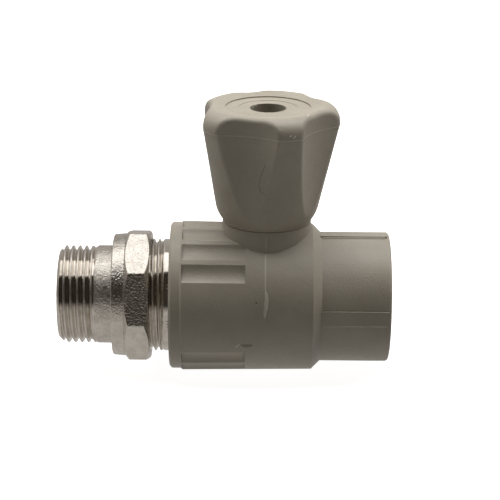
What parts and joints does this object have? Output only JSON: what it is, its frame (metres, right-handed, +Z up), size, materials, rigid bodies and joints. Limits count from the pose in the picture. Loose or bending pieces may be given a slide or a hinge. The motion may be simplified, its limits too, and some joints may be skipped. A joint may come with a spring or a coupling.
{
  "type": "union ball valve",
  "caption": "Straight radiator ball valve: moulded plastic body with a fusion socket, a five-lobed handle, and a nickel-plated union with a male-threaded tail.",
  "frame": {"origin": "centre of the fusion socket's mouth, on the pipe axis", "axes": "+X out of the fusion socket along the pipe, +Z up the stem to the handle"},
  "size_m": [0.09, 0.041, 0.0747],
  "materials": {
    "body_plastic": "moulded grey polypropylene, satin",
    "handle_plastic": "moulded grey plastic, fine satin",
    "nickel_plate": "nickel-plated brass, blasted satin with bright cut threads",
    "chromed_ball": "polished chrome on brass",
    "bare_brass": "turned brass",
    "seat_plastic": "white fluoroplastic, smooth",
    "seal_rubber": "black rubber",
    "screw_steel": "zinc-plated steel"
  },
  "bodies": {
    "valve_body": {"body_shell": "body_plastic", "valve_insert": "nickel_plate", "seat_retainer": "bare_brass", "ball_seat_socket_side": "seat_plastic", "ball_seat_union_side": "seat_plastic"},
    "spindle": {"handle": "handle_plastic", "handle_screw": "screw_steel", "screw_washer": "screw_steel", "stem": "bare_brass", "thrust_washer": "seat_plastic", "stem_o_ring_lower": "seal_rubber", "stem_o_ring_upper": "seal_rubber", "ball": "chromed_ball"},
    "union_seal": {"union_o_ring": "seal_rubber"},
    "union_nut": {"union_nut": "nickel_plate"},
    "tail": {"tailpiece": "nickel_plate"}
  },
  "joints": [
    {"name": "handle_turn", "type": "hinge", "parent": "valve_body", "child": "spindle", "pos_m": [-0.0335, 0, 0], "axis": [0, 0, 1], "range_deg": [-90, 0]},
    {"name": "union_draw", "type": "slide", "parent": "valve_body", "child": "union_seal", "axis": [-1, 0, 0], "range_m": [0, 0.0053]},
    {"name": "nut_turn", "type": "hinge", "parent": "union_seal", "child": "union_nut", "pos_m": [-0.07, 0, 0], "axis": [-1, 0, 0], "range_deg": [0, 1260]},
    {"name": "tail_swivel", "type": "hinge", "parent": "union_seal", "child": "tail", "pos_m": [-0.08, 0, 0], "axis": [-1, 0, 0], "continuous": true}
  ],
  "couplings": [
    {"joint": "union_draw", "follows": "nut_turn", "m_per_rad": 0.00023873}
  ]
}
